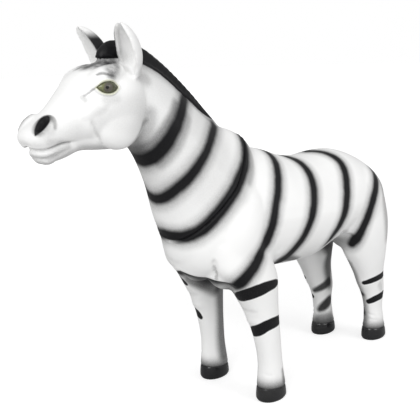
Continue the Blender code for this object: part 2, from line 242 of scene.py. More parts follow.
# Creases and ridges of the head: points, width and depth. A negative depth is a ridge
HEAD_CREASES = [
    ([(0, -1182, 1075), (27, -1172, 1073), (48, -1139, 1082), (55, -1096, 1095),
      (55, -1052, 1097)], 9, 5.8),
    ([(0, -1182, 1075), (27, -1172, 1073), (48, -1139, 1082), (55, -1096, 1095), (55, -1040, 1098)], 20, 3),
    ([(0, -1188, 1090), (40, -1166, 1088), (58, -1110, 1103)], 12, -2),
    ([(0, -1180, 1060), (36, -1160, 1060), (52, -1108, 1074)], 11, -2.6),
    ([(30, -1154, 1048), (48, -1116, 1056), (54, -1070, 1072)], 13, 3),
    ([(0, -1145, 1040), (16, -1136, 1040), (34, -1122, 1046)], 34, -8.5),
    ([(50, -1164, 1139), (52, -1150, 1153), (52, -1136, 1167)], 19, 15),
    ([(34, -1146, 1180), (54, -1120, 1184), (70, -1112, 1166)], 14, -2.6),
    ([(94, -1006, 1160), (90, -995, 1139), (79, -982, 1116), (66, -955, 1081)], 16, 4.2),
    ([(100, -950, 1205), (96, -1000, 1188), (88, -1040, 1168)], 26, -4.5),
    ([(90, -972, 1292), (100, -952, 1297), (108, -927, 1289)], 7, 3.4),
    ([(103, -986, 1255), (88, -999, 1243), (79, -1020, 1231)], 7, 3.4),
    ([(60, -985, 1272), (52, -1010, 1255)], 16, 3),
]

# Creases of the body, given in the same way
BODY_CREASES = [
    ([(138, -556, 616), (128, -546, 578), (112, -520, 535)], 15, 8.5),
    ([(146, 146, 545), (168, 160, 564), (176, 185, 580)], 13, 8),
    ([(98, -492, 508), (122, -480, 496), (150, -464, 484)], 34, 8),
    ([(194, -272, 665), (189, -250, 615), (172, -226, 570)], 26, 4),
    ([(0, 545, 700), (0, 520, 560), (0, 470, 480)], 22, 8),
]

# The sharp lower edge of the chest: how high it is at each distance from the middle
CHEST_EDGE = [(0, 560), (25, 553), (55, 540), (100, 527), (160, 512)]

# Creases of the left legs
FORELEG_CREASES = [
    ([(172, -346, 104), (190, -330, 102), (200, -308, 98)], 8, 2.2),
    ([(110, -400, 382), (150, -410, 372), (190, -392, 378)], 24, 3),
    ([(120, -378, 330), (150, -386, 330), (186, -370, 330)], 30, -3.5),
]
HINDLEG_CREASES = [
    ([(110, 446, 126), (132, 452, 112), (146, 476, 106)], 8, 4),
    ([(112, 444, 98), (136, 452, 90), (150, 482, 84)], 8, 3.2),
    ([(154, 512, 300), (150, 520, 260), (142, 520, 215)], 18, 4),
    ([(68, 512, 300), (70, 520, 260), (78, 520, 215)], 18, 4),
    ([(112, 556, 320), (111, 554, 285)], 30, -5),
]

# The lower edge of the raised mane, from the forelock over the left of the neck to the withers
MANE_EDGE = [(0, -908, 1342), (12, -902, 1342), (28, -882, 1343), (40, -860, 1343), (45, -815, 1338),
             (46, -763, 1319), (49, -732, 1305), (48, -704, 1291), (45, -673, 1273), (42, -640, 1251),
             (41, -613, 1229), (37, -581, 1208), (32, -548, 1186), (27, -499, 1148), (22, -463, 1124),
             (12, -433, 1106), (0, -420, 1098)]

# The way in which the mane runs down the neck, along Y and Z
MANE_RUN = (0.840, -0.542)

# Sprayed stripes: points of the middle of each, with its half width there
STRIPES = [
    [(40, -566, 1204, 19), (66, -602, 1187, 20), (94, -637, 1160, 21), (114, -669, 1129, 22),
     (113, -693, 1095, 24), (101, -716, 1056, 26), (80, -735, 1026, 27), (50, -748, 1006, 28),
     (0, -757, 994, 28)],
    [(30, -432, 1086, 16), (84, -492, 1062, 18), (126, -552, 1025, 18), (136, -587, 992, 19),
     (132, -611, 963, 20), (121, -637, 931, 21), (101, -663, 903, 21), (73, -682, 876, 21),
     (38, -694, 855, 21), (0, -698, 848, 21)],
    [(0, -285, 1040, 20), (50, -305, 1014, 20), (111, -350, 963, 22), (136, -385, 929, 24),
     (160, -440, 888, 26), (167, -480, 850, 26), (155, -532, 796, 26), (124, -587, 738, 26),
     (80, -622, 712, 25), (40, -648, 706, 24), (0, -658, 712, 22)],
    [(0, -160, 968, 16), (48, -154, 953, 18), (85, -160, 928, 19), (120, -184, 892, 19),
     (165, -237, 812, 19), (181, -263, 778, 19), (193, -289, 731, 21), (194, -313, 681, 24),
     (187, -338, 636, 28), (195, -385, 588, 25), (199, -436, 550, 25), (183, -467, 519, 26),
     (170, -478, 505, 18)],
    [(0, -48, 928, 18), (29, -24, 918, 19), (66, 2, 898, 20), (116, 6, 863, 20), (157, -10, 814, 20),
     (188, -42, 757, 20), (203, -76, 696, 20), (190, -106, 626, 20), (169, -134, 579, 22),
     (136, -156, 538, 25), (70, -172, 495, 28), (0, -176, 480, 28)],
    [(0, 146, 915, 16), (37, 190, 911, 17), (89, 225, 888, 19), (127, 230, 856, 20), (160, 208, 811, 20),
     (191, 174, 749, 21), (206, 142, 684, 22), (198, 118, 627, 21), (184, 94, 588, 18), (168, 80, 560, 12),
     (154, 70, 544, 4)],
    [(0, 520, 822, 18), (50, 515, 815, 20), (100, 486, 802, 22), (136, 450, 783, 23), (180, 400, 742, 23),
     (198, 345, 680, 23), (197, 316, 620, 24), (181, 292, 561, 25), (164, 277, 524, 26),
     (146, 272, 494, 20)],
]

# The painted inside of the left nostril
NOSTRIL = [(52, -1177, 1128, 3), (50, -1165, 1138, 12), (49, -1152, 1152, 17), (50, -1140, 1164, 16),
           (50, -1131, 1173, 9)]

# Painted bars of the left foreleg and the left hind leg, with crisp edges
FORELEG_BARS = [
    [(137, -438, 440, 14), (155, -444, 450, 24), (181, -438, 463, 28), (204, -412, 472, 27),
     (212, -372, 478, 24), (211, -335, 480, 20), (203, -298, 478, 16), (186, -270, 474, 6)],
    [(138, -364, 275, 14), (152, -370, 288, 23), (172, -367, 299, 26), (194, -354, 313, 26),
     (203, -328, 321, 25), (201, -290, 321, 22), (186, -254, 318, 16), (168, -242, 318, 5)],
]
HINDLEG_BARS = [
    [(132, 392, 288, 12), (151, 412, 297, 15), (163, 450, 303, 16), (160, 500, 306, 17),
     (140, 538, 306, 15), (112, 548, 304, 6)],
    [(124, 442, 182, 13), (140, 456, 194, 17), (149, 490, 200, 18), (142, 530, 202, 18),
     (122, 550, 202, 14), (104, 552, 200, 5)],
]

# Soft sprays of grey paint, and painted shade in creases, hollows and undersides, on one casting or leg: points
# with their half width, then the fade round them, all in thousandths, and the strength
FOREHEAD_BRUSHING = [
    ([(34, -892, 1337, 20), (30, -925, 1322, 20), (18, -954, 1311, 8)], 32, 0.82),
    ([(60, -897, 1326, 12), (92, -914, 1311, 14), (106, -926, 1294, 8)], 24, 0.72),
]
HEAD_SPRAYS_AND_SHADE = [
    # Painted shade in the brow crease and along the tear line
    ([(89, -971, 1293, 0), (98, -955, 1297, 1), (108, -926, 1288, 0)], 7, 0.6),
    ([(103, -986, 1256, 0), (88, -999, 1243, 0), (80, -1016, 1232, 0)], 6, 0.48),
    # A smudge of grey paint below the tear line
    ([(79, -1022, 1228, 3), (83, -1016, 1219, 2)], 12, 0.26),
    # Painted shade below the eye
    ([(110, -960, 1216, 2), (115, -920, 1217, 2)], 20, 0.13),
    # Grey round the nostril and over the muzzle
    ([(51, -1125, 1177, 3), (60, -1118, 1167, 3), (68, -1119, 1146, 1)], 11, 0.42),
    ([(50, -1165, 1138, 8), (49, -1152, 1152, 13), (50, -1133, 1171, 9)], 18, 0.75),
    ([(68, -1150, 1118, 6), (68, -1110, 1112, 10), (76, -1060, 1130, 10)], 50, 0.13),
    ([(66, -1140, 1103, 2), (62, -1104, 1101, 2)], 18, 0.16),
    # Painted shade along the mouth, under the lower lip and the chin, under the jaw and in the jaw's front crease
    ([(0, -1180, 1077, 1), (27, -1172, 1073, 1), (48, -1139, 1082, 1), (54, -1096, 1095, 2),
      (54, -1066, 1097, 1)], 6, 0.52),
    ([(0, -1172, 1052, 2), (35, -1156, 1053, 2), (48, -1130, 1058, 4), (53, -1100, 1068, 3),
      (54, -1070, 1080, 1)], 14, 0.3),
    ([(0, -1140, 1036, 6), (36, -1120, 1044, 4), (46, -1060, 1062, 3)], 24, 0.3),
    ([(46, -1023, 1066, 4), (36, -950, 1056, 6), (50, -890, 1058, 6)], 32, 0.26),
    ([(92, -1002, 1150, 0), (88, -992, 1134, 0), (79, -982, 1116, 1), (66, -955, 1081, 1)], 8, 0.17),
    # Painted shade in the groove behind the jowl
    ([(96, -794, 1136, 0), (92, -818, 1098, 4), (80, -846, 1070, 4)], 18, 0.36),
    # A faint grey over the cheek
    ([(110, -950, 1180, 30), (110, -860, 1165, 40)], 50, 0.12),
    # Painted shade behind the jowl and under the jaw
    ([(98, -779, 1160, 4), (84, -784, 1112, 10), (60, -795, 1080, 14)], 36, 0.32),
    ([(0, -860, 1058, 20), (0, -780, 1060, 30)], 50, 0.4),
    # Grey behind the root of the ear
    ([(102, -812, 1296, 4), (85, -778, 1270, 8)], 30, 0.26),
    # Haze beside the first two neck stripes
    ([(92, -660, 1180, 2), (110, -700, 1138, 4), (103, -729, 1094, 8), (86, -747, 1062, 10),
      (60, -765, 1042, 10), (0, -785, 1035, 10)], 30, 0.5),
    ([(101, -617, 1131, 2), (121, -655, 1088, 3), (114, -679, 1046, 4), (97, -703, 1010, 4),
      (69, -725, 983, 4)], 30, 0.28),
    # Painted shade in the hollow of the ear
    ([(94, -899, 1426, 3), (78, -884, 1395, 5), (68, -868, 1358, 4)], 14, 0.2),
]
BODY_SPRAYS_AND_SHADE = [
    # Painted shade in the chest crease, under the chest and the belly, under the flank web and in the flank crease
    ([(128, -546, 586, 0), (121, -535, 558, 1), (112, -520, 534, 3)], 8, 0.45),
    ([(0, -440, 480, 40), (60, -400, 490, 30)], 60, 0.85),
    ([(128, -180, 528, 12), (118, -110, 514, 8), (95, -53, 497, 4)], 30, 0.75),
    ([(0, -200, 480, 30), (0, 200, 490, 10)], 60, 0.3),
    ([(100, 225, 503, 4), (60, 250, 485, 10), (30, 420, 500, 10)], 70, 0.62),
    ([(168, 172, 576, 3), (166, 210, 562, 4)], 24, 0.26),
    # Painted shade under the chest at the top of the foreleg
    ([(176, -470, 510, 10), (150, -470, 500, 12)], 22, 0.92),
    # Painted shade beside the stripe over the neck seam
    ([(80, -300, 985, 4), (122, -327, 931, 7), (152, -375, 880, 4)], 30, 0.34),
    # Grey paint and painted shade towards the rear edge of the rump
    ([(130, 500, 750, 10), (165, 490, 680, 10), (186, 480, 600, 6), (188, 500, 500, 4)], 50, 0.44),
]
FORELEG_SPRAYS_AND_SHADE = [
    # Painted shade on the inner side of the foreleg, from its top down its rear
    ([(110, -435, 470, 16), (90, -386, 440, 14), (85, -334, 405, 10)], 40, 0.72),
    ([(92, -300, 400, 14), (108, -276, 290, 16), (114, -268, 198, 16), (116, -262, 90, 16)], 40, 0.78),
    # A grey fade above the hoof at the rear
    ([(203, -256, 105, 1), (204, -250, 60, 6)], 16, 0.55),
]
HINDLEG_SPRAYS_AND_SHADE = [
    # Painted shade down the inner side of the hind leg
    ([(36, 440, 460, 16), (46, 476, 407, 14), (52, 470, 355, 13), (60, 485, 300, 10),
      (62, 500, 240, 4)], 42, 0.82),
    # Soft grey blots low on the inner side
    ([(100, 424, 216, 3), (80, 436, 230, 10), (66, 463, 243, 14), (62, 490, 254, 14)], 18, 0.93),
    ([(90, 452, 116, 4), (81, 466, 128, 13), (74, 484, 141, 18), (71, 503, 152, 18)], 20, 0.96),
    ([(94, 452, 68, 6), (80, 462, 70, 10), (66, 503, 66, 12)], 32, 0.6),
    # Painted shade down the rear of the leg's outer side
    ([(150, 520, 420, 6), (146, 530, 330, 4)], 34, 0.3),
]

# Sprays and painted shade on the left hind leg alone, in the same form
LEFT_SPRAYS_AND_SHADE = [
    # Painted shade along the front of the inner side
    ([(86, 330, 390, 6), (90, 380, 300, 6), (94, 418, 229, 5), (96, 443, 159, 5),
      (100, 448, 100, 6)], 28, 0.62),
    # Grey between the bars
    ([(160, 480, 262, 4), (156, 500, 240, 4)], 24, 0.22),
]

# The dark tuft of the tail
TAIL_TUFT = [(0, 592, 560, 20), (0, 570, 470, 40), (0, 545, 380, 40)]

# The hoof's upper edge: its height at the toe of each leg, how much it falls to the heel, and its grey fade above
HOOF_HEIGHT = 0.047
HOOF_FALL = 0.10
HOOF_FADE = 0.062
FORE_TOE = -0.352
HIND_TOE = 0.438

# The boundary between the charcoal and the white of each ear, in the width of the head, at a height, and its lean
EAR_PAINT_PLACE = 0.072
EAR_PAINT_HEIGHT = 1.363
EAR_PAINT_LEAN = 0.28

# A stripe's core is this much wider each way than its points say
STRIPE_SPREAD = 0.0015

WITHERS = (CAD_HIGH[2] - CAD_LOW[2]) / HEIGHT_SHARE


class ZebraForm(bpy.types.PropertyGroup):
    """Sizes of the two castings."""

    withers: FloatProperty(
        name="Withers height", description="Height of the figure at its withers", default=WITHERS, unit="LENGTH"
    )
    body_cube: FloatProperty(
        name="Body cube", description="Cubes that the body's skin is fused from", default=0.00228, unit="LENGTH"
    )
    head_cube: FloatProperty(
        name="Head cube", description="Cubes that the head's skin is fused from", default=0.00141, unit="LENGTH"
    )
    softness: FloatProperty(
        name="Softness", description="How widely the joins between the forms are rounded", default=0.0036,
        unit="LENGTH",
    )


class ZebraPaint(bpy.types.PropertyGroup):
    """Colours of the vinyl and its paint."""

    vinyl: FloatVectorProperty(
        name="Vinyl", description="The white vinyl", default=(0.87, 0.87, 0.865, 1.0), size=4, subtype="COLOR"
    )
    charcoal: FloatVectorProperty(
        name="Charcoal", description="Airbrushed stripes and mane", default=(0.006, 0.006, 0.007, 1.0), size=4,
        subtype="COLOR",
    )
    hoof: FloatVectorProperty(
        name="Hoof", description="Gloss black of the hooves", default=(0.006, 0.006, 0.007, 1.0), size=4,
        subtype="COLOR",
    )
    eye_rim: FloatVectorProperty(
        name="Eye rim", description="Pale yellow green round the eye", default=(0.56, 0.57, 0.30, 1.0), size=4,
        subtype="COLOR",
    )
    eye_olive: FloatVectorProperty(
        name="Olive", description="Olive ground of the eye", default=(0.17, 0.18, 0.085, 1.0), size=4,
        subtype="COLOR",
    )
    iris: FloatVectorProperty(
        name="Iris", description="Grey brown iris", default=(0.115, 0.105, 0.085, 1.0), size=4, subtype="COLOR"
    )
    edge: FloatProperty(
        name="Stripe edge", description="Softness of a sprayed stripe's edge", default=0.0041, unit="LENGTH"
    )
    crisp_edge: FloatProperty(
        name="Bar edge", description="Softness of a painted bar's edge", default=0.0009, unit="LENGTH"
    )
    overspray: FloatProperty(
        name="Overspray", description="Reach of the grey haze beside a stripe", default=0.015, unit="LENGTH"
    )


class StudioSet(bpy.types.PropertyGroup):
    """Floor, light and camera."""

    key: FloatProperty(name="Key light", description="Power of the large front light", default=31.0, unit="POWER")
    side: FloatProperty(
        name="Side light", description="Power of the light from the rear", default=17.0, unit="POWER"
    )
    sky: FloatProperty(name="Sky", description="Strength of the even light all round", default=0.56)
    glow: FloatProperty(name="Floor glow", description="How far the floor is lifted towards white", default=0.62)
    floor: FloatVectorProperty(
        name="Floor", description="Pale floor", default=(0.55, 0.55, 0.55, 1.0), size=4, subtype="COLOR"
    )
    lens: FloatProperty(name="Lens", description="Camera lens in millimetres", default=60.91)


def select_only(obj):
    bpy.ops.object.select_all(action="DESELECT")
    obj.select_set(True)
    bpy.context.view_layer.objects.active = obj


def read_points(obj):
    points = np.empty(len(obj.data.vertices) * 3)
    obj.data.vertices.foreach_get("co", points)
    return points.reshape(-1, 3)


def write_points(obj, points):
    obj.data.vertices.foreach_set("co", np.asarray(points, float).ravel())
    obj.data.update()


def read_normals(obj):
    normals = np.empty(len(obj.data.vertices) * 3)
    obj.data.vertex_normals.foreach_get("vector", normals)
    return normals.reshape(-1, 3)


def withers_height():
    return bpy.context.scene.zebra_form.withers


def read_places(skin):
    """Each point of a skin in shares of the withers height."""
    return read_points(skin) / withers_height()


def push_out(skin, move, normals=None):
    """Moves each point out along its normal by a share of the withers height."""
    normals = read_normals(skin) if normals is None else normals
    write_points(skin, read_points(skin) + normals * (move * withers_height())[:, None])


def apply_modifier(obj, kind, **settings):
    """Adds a modifier, sets it and applies it."""
    select_only(obj)
    modifier = obj.modifiers.new(kind.title(), kind)
    for name, value in settings.items():
        setattr(modifier, name, value)
    bpy.ops.object.modifier_apply(modifier=modifier.name)


def smooth_curve(rows, steps):
    """Rows of numbers with more between each two, on a smooth Catmull-Rom curve through all of them."""
    padded = np.vstack([rows[:1], rows, rows[-1:]])
    curve = []
    for a, b, c, d in zip(padded, padded[1:], padded[2:], padded[3:]):
        for t in np.arange(steps) / steps:
            curve.append(
                0.5 * (2 * b + (c - a) * t + (2 * a - 5 * b + 4 * c - d) * t**2 + (3 * b - a - 3 * c + d) * t**3)
            )
    curve.append(rows[-1])
    return np.array(curve)


def station_rings(stations):
    """The rings of a form, as an array of rings, points and coordinates."""
    rows = np.array(stations, float)
    rows[:, LENGTH_COLUMNS] /= THOUSAND
    rows = smooth_curve(rows, RINGS_PER_STATION)
    x, y, z, tilt, half_width, up, down, squareness, top_share = (column[:, None] for column in rows.T)
    angle = 2 * np.pi * np.arange(RING_SIDES) / RING_SIDES
    across = np.sign(np.cos(angle)) * np.abs(np.cos(angle)) ** (2 / squareness)
    along = np.sign(np.sin(angle)) * np.abs(np.sin(angle)) ** (2 / squareness)
    width = half_width * (1 + (top_share - 1) * np.maximum(0, along))
    height = np.where(along > 0, up, down) * along
    lean = np.radians(tilt)
    return np.stack([x + across * width, y + height * np.sin(lean), z + height * np.cos(lean)], axis=2)


def ear_rings():
    """Crescents from the left ear's root to its tip, open towards the front."""
    root, tip = Vector(EAR_ROOT), Vector(EAR_TIP)
    axis = (tip - root).normalized()
    turn = math.radians(EAR_TURN)
    facing = Vector((math.sin(turn), -math.cos(turn), 0))
    facing = (facing - axis * facing.dot(axis)).normalized()
    across = axis.cross(facing).normalized()
    reach = math.radians(EAR_REACH)
    crescent = np.linspace(-reach, reach, EAR_RIM_POINTS)
    rings = []
    for share in np.linspace(0, 1, EAR_RINGS + 1):
        # A leaf: a narrow root, widest near the middle and pointed at the tip
        swell = math.sin(min(share / EAR_WIDEST, 1.0) * math.pi / 2)
        width = EAR_HALF_WIDTH * (EAR_ROOT_SHARE + (1 - EAR_ROOT_SHARE) * swell)
        width *= math.sqrt(max(0.02, 1 - share**3))
        centre = root.lerp(tip, share) - facing * EAR_BOW * math.sin(math.pi * share)
        inner = width - min(EAR_WALL, width * EAR_WALL_SHARE)
        # At the root the hollow fills up, so that the ear grows out of the head as one
        hollow = min(1.0, share / EAR_HOLLOW_OPEN)
        front = math.cos(reach) * width
        sideways = np.concatenate([np.sin(crescent) * width, np.sin(crescent[::-1]) * inner])
        depth = np.cos(crescent[::-1]) * inner * EAR_DEPTH
        depth = depth * hollow + (1 - hollow) * np.minimum(depth, front)
        backwards = np.concatenate([np.cos(crescent) * width * EAR_DEPTH, depth])
        sideways = np.where(sideways < 0, sideways * EAR_INNER_SPREAD, sideways)
        rings.append(np.array(centre) + np.outer(sideways, across) - np.outer(backwards, facing))
    return np.array(rings)


def add_form(rings, side=1, step=0.0):
    """Models a closed form: a filled circle, extruded once for each further ring and then drawn to its rings."""
    count = rings.shape[1]
    bpy.ops.object.select_all(action="DESELECT")
    bpy.ops.mesh.primitive_circle_add(vertices=count, radius=1, fill_type="NGON")
    form = bpy.context.object
    bpy.ops.object.mode_set(mode="EDIT")
    bpy.ops.mesh.select_all(action="SELECT")
    for _ in range(len(rings) - 1):
        bpy.ops.mesh.extrude_region_move(TRANSFORM_OT_translate={"value": (0, 0, 1)})
    bpy.ops.object.mode_set(mode="OBJECT")
    points = read_points(form)
    ring = np.rint(points[:, 2]).astype(int)
    place = np.rint(np.arctan2(points[:, 1], points[:, 0]) / (2 * np.pi) * count).astype(int) % count
    placed = rings[ring, place] * (side, 1, 1) + (0, step, 0)
    write_points(form, placed * withers_height())
    return form


def add_mass(mass, side):
    """Models a rounded mass under the skin, from a ball stretched and leant in edit mode."""
    (x, y, z), half_sizes, lean = mass
    withers = withers_height()
    place = Vector((x * side, y, z)) * withers
    bpy.ops.object.select_all(action="DESELECT")
    bpy.ops.mesh.primitive_ico_sphere_add(subdivisions=5, radius=withers)
    ball = bpy.context.object
    bpy.ops.object.mode_set(mode="EDIT")
    bpy.ops.mesh.select_all(action="SELECT")
    bpy.ops.transform.resize(value=half_sizes, center_override=(0, 0, 0))
    bpy.ops.transform.translate(value=place)
    bpy.ops.object.mode_set(mode="OBJECT")
    turn = Matrix.Rotation(math.radians(-lean), 3, "X")
    write_points(ball, (read_points(ball) - place) @ np.array(turn).T + place)
    return ball


def fuse(forms, name, cube):
    """Joins forms, fuses them into one skin of small cubes and rounds the joins between them."""
    form = bpy.context.scene.zebra_form
    select_only(forms[0])
    for other in forms:
        other.select_set(True)
    bpy.ops.object.join()
    skin = bpy.context.object
    skin.name = name
    skin.data.name = name
    bpy.ops.object.mode_set(mode="EDIT")
    bpy.ops.mesh.select_all(action="SELECT")
    bpy.ops.mesh.normals_make_consistent(inside=False)
    bpy.ops.object.mode_set(mode="OBJECT")
    apply_modifier(skin, "REMESH", mode="VOXEL", voxel_size=cube)
    rounds = int(round(4 * (form.softness / cube) ** 2))
    apply_modifier(skin, "SMOOTH", factor=0.5, iterations=rounds)
    return skin


def refine(skin, chosen, rounds=3):
    """Splits the faces whose corners are chosen, and rounds the finer surface."""
    mesh = skin.data
    select_only(skin)
    bpy.ops.object.mode_set(mode="EDIT")
    bpy.ops.mesh.select_mode(type="FACE")
    bpy.ops.mesh.select_all(action="DESELECT")
    bpy.ops.object.mode_set(mode="OBJECT")
    corners = np.empty(len(mesh.loops), int)
    mesh.loops.foreach_get("vertex_index", corners)
    starts = np.empty(len(mesh.polygons), int)
    mesh.polygons.foreach_get("loop_start", starts)
    picked = np.logical_and.reduceat(chosen[corners], starts)
    mesh.polygons.foreach_set("select", picked)
    bpy.ops.object.mode_set(mode="EDIT")
    bpy.ops.mesh.subdivide(number_cuts=1)
    bpy.ops.mesh.vertices_smooth(factor=0.5, repeat=rounds)
    bpy.ops.object.mode_set(mode="OBJECT")


def line_gap(places, line, reach):
    """How far each place is from a line whose rows are x, y, z and half width, less that half width."""
    gap = np.full(len(places), float(reach))
    room = reach + line[:, 3].max()
    inside = np.all((places > line[:, :3].min(0) - room) & (places < line[:, :3].max(0) + room), axis=1)
    near = np.flatnonzero(inside)
    spots = places[near]
    best = gap[near]
    for start, end in zip(line, line[1:]):
        way = end[:3] - start[:3]
        share = np.clip((spots - start[:3]) @ way / max(way @ way, 1e-12), 0, 1)
        away = np.linalg.norm(spots - start[:3] - share[:, None] * way, axis=1)
        best = np.minimum(best, away - (start[3] + share * (end[3] - start[3])))
    gap[near] = best
    return gap


def folded(places, step=0.0):
    """The places with both sides laid on the left one. A step undoes how far the right legs are moved along Y."""
    left = places.copy()
    left[:, 1] -= np.where(places[:, 0] < 0, step, 0.0)
    left[:, 0] = np.abs(places[:, 0])
    return left


def line_through(points):
    """A smooth line through points of a table."""
    return smooth_curve(np.array(points) / THOUSAND, LINE_STEPS)


def laid_on(points, tree):
    """A smooth line through points of a table, moved onto the skin."""
    rows, scale = line_through(points), withers_height()
    for row in rows:
        spot = tree.find_nearest(Vector(row[:3]) * scale)[0]
        row[:3] = np.array(spot) / scale
    return rows


def skin_tree(skin):
    return BVHTree.FromPolygons(
        [vertex.co for vertex in skin.data.vertices], [face.vertices for face in skin.data.polygons]
    )


def smooth_step(value):
    value = np.clip(value, 0, 1)
    return value * value * (3 - 2 * value)


def eased_ends(rows, width):
    """Lets a crease run out towards its ends, save where it crosses the middle of the figure."""
    share = np.linspace(0, 1, len(rows))
    ease = np.zeros(len(rows))
    if rows[0, 0] > 0:
        ease = np.maximum(ease, 1 - share / 0.35)
    if rows[-1, 0] > 0:
        ease = np.maximum(ease, (share - 0.65) / 0.35)
    rows[:, 3] = -0.85 * width * ease**2
    return rows


def press(skin, creases, step=0.0):
    """Presses creases into a skin, or raises ridges, along lines laid on it."""
    tree = skin_tree(skin)
    places = folded(read_places(skin), step)
    total = np.zeros(len(places))
    for line, width, depth in creases:
        width /= THOUSAND
        rows = eased_ends(laid_on([(*point, 0) for point in line], tree), width)
        gap = line_gap(places, rows, width) / width
        total += depth / THOUSAND * (1 - np.clip(gap, 0, 1) ** 2) ** 2
    push_out(skin, -total)


def mark_mane(skin):
    """Keeps on the skin how far each point is outside the mane's edge, in metres, and below 0 inside it."""
    places = folded(read_places(skin))
    rows = laid_on([(*point, 0) for point in MANE_EDGE], skin_tree(skin))
    gap = line_gap(places, rows, 0.08)
    run = np.array(MANE_RUN)
    rise = np.array([-run[1], run[0]])
    edge_run = np.maximum.accumulate(rows[:, 1:3] @ run)
    along = places[:, 1:] @ run
    above = places[:, 1:] @ rise > np.interp(along, edge_run, rows[:, 1:3] @ rise, left=9, right=9)
    # The ears stand beside the forelock, outside its edge
    beside = places[:, 0] < np.interp(along, edge_run, rows[:, 0]) + 0.006
    store(skin, "mane_gap", np.where(above & beside, -gap, gap) * withers_height())


def raise_mane(skin):
    """Raises the mane by a small step along its lower edge, with a fine groove under the step."""
    places = read_places(skin)
    gap = read_stored(skin, "mane_gap") / withers_height()
    # The step dies out at the withers, and on the mane's crest
    rear = smooth_step((-0.42 - places[:, 1]) / 0.10)
    step = smooth_step(-gap / 0.005)
    move = 0.0040 * step * smooth_step((0.030 + gap) / 0.026) - 0.0024 * np.exp(-(((gap - 0.0015) / 0.003) ** 2))
    # Shallow flutes of combed hair run up the mane
    comb = np.sin((places[:, 1] * 0.72 - places[:, 2] * 0.69) * 2 * np.pi / 0.026)
    move += 0.0004 * comb * step
    push_out(skin, move * rear)


def chest_gap(places):
    """How far each place on the left is above the sharp lower edge of the chest."""
    spots, heights = np.array(CHEST_EDGE).T / THOUSAND
    return places[:, 2] - np.interp(places[:, 0], spots, heights)


def mark_chest(skin):
    """Keeps on the skin how far each point is above the chest's lower edge, before creases move it."""
    store(skin, "chest_gap", chest_gap(folded(read_places(skin))))


def shape_chest(skin):
    """Draws the underside of the chest in behind its sharp lower edge."""
    places = folded(read_places(skin))
    gap = read_stored(skin, "chest_gap")
    front = smooth_step((-0.42 - places[:, 1]) / 0.08) * smooth_step((0.15 - places[:, 0]) / 0.04)
    below = smooth_step(-gap / 0.007) * smooth_step((0.075 + gap) / 0.05)
    lip = np.exp(-(((gap - 0.007) / 0.008) ** 2))
    move = (0.0022 * lip - 0.0080 * below) * front
    normals = read_normals(skin)
    normals[:, 2] *= 0.3
    push_out(skin, move, normals)


def lift_flanks(skin):
    """Lifts the web of skin between the belly and the front of each thigh."""
    points = read_points(skin)
    places = folded(read_places(skin), RIGHT_HIND_STEP)
    lift = np.exp(-(((places[:, 1] - 0.235) / 0.085) ** 2)) * smooth_step((0.180 - places[:, 0]) / 0.03)
    lift *= smooth_step((0.575 - places[:, 2]) / 0.06) * smooth_step((places[:, 2] - 0.42) / 0.06)
    points[:, 2] += 0.030 * lift * withers_height()
    write_points(skin, points)


def calm(skin, middle, reach, rounds):
    """Smooths the skin round a place on each side."""
    places = folded(read_places(skin))
    chosen = np.linalg.norm(places - middle, axis=1) < reach
    select_only(skin)
    bpy.ops.object.mode_set(mode="EDIT")
    bpy.ops.mesh.select_mode(type="VERT")
    bpy.ops.mesh.select_all(action="DESELECT")
    bpy.ops.object.mode_set(mode="OBJECT")
    skin.data.vertices.foreach_set("select", chosen)
    bpy.ops.object.mode_set(mode="EDIT")
    bpy.ops.mesh.vertices_smooth(factor=0.5, repeat=rounds)
    bpy.ops.object.mode_set(mode="OBJECT")


def eye_place(places):
    """Each place in the eye's own plane: along the lids and up, as shares of the half length and half height."""
    forward = np.array(Vector(EYE_FORWARD).normalized())
    up = np.array([0.0, 0.0, 1.0]) - forward * forward[2]
    up /= np.linalg.norm(up)
    outward = np.cross(up, forward)
    offset = places - np.array(EYE_CENTRE)
    return offset @ forward / EYE_HALF_LENGTH, offset @ up / EYE_HALF_HEIGHT, offset @ outward


def lid_height(along):
    """The almond's half height at a share along it."""
    return np.clip(1 - np.abs(along) ** 2.2, 0, 1) ** 0.85


def shape_eyes(skin):
    """Rounds each eyeball inside an almond of raised lids, with a sharp fold between them."""
    along, up, out = eye_place(folded(read_places(skin)))
    near = (np.abs(along) < 1.9) & (np.abs(up) < 3.2) & (np.abs(out) < 0.05)
    opening = lid_height(along)
    edge = np.abs(up) - opening
    edge = np.where(np.abs(along) > 1, np.hypot((np.abs(along) - 1) * 2.0, up), edge)
    ball = 0.0030 * np.clip(1 - (along**2 + up**2), 0, 1)
    lid = 0.0050 * np.exp(-(((edge - 0.24) / 0.22) ** 2)) * np.clip(1.5 - np.abs(along), 0, 1) ** 0.5
    fold = 0.0032 * np.exp(-((edge / 0.10) ** 2))
    socket = 0.0030 * np.exp(-(((edge - 0.85) / 0.35) ** 2)) * (up > 0)
    move = np.where(edge < 0, ball, 0) + lid - fold - socket
    push_out(skin, np.where(near, move, 0))


def shape_seam(skin, outward):
    """Rounds a casting's rim at the seam and raises a fine bead beside it."""
    away = np.abs((read_places(skin) - np.array(SEAM_CENTRE)) @ np.array(outward))
    bead = 0.0020 * np.exp(-(((away - 0.008) / 0.005) ** 2))
    push_out(skin, bead - 0.0055 * np.exp(-((away / 0.0032) ** 2)))


def hoof_gap(places):
    """How far each place is above the upper edge of the hooves."""
    toe = np.where(places[:, 1] < 0, FORE_TOE, HIND_TOE)
    return places[:, 2] - (HOOF_HEIGHT - HOOF_FALL * np.clip(places[:, 1] - toe, 0, 0.2))


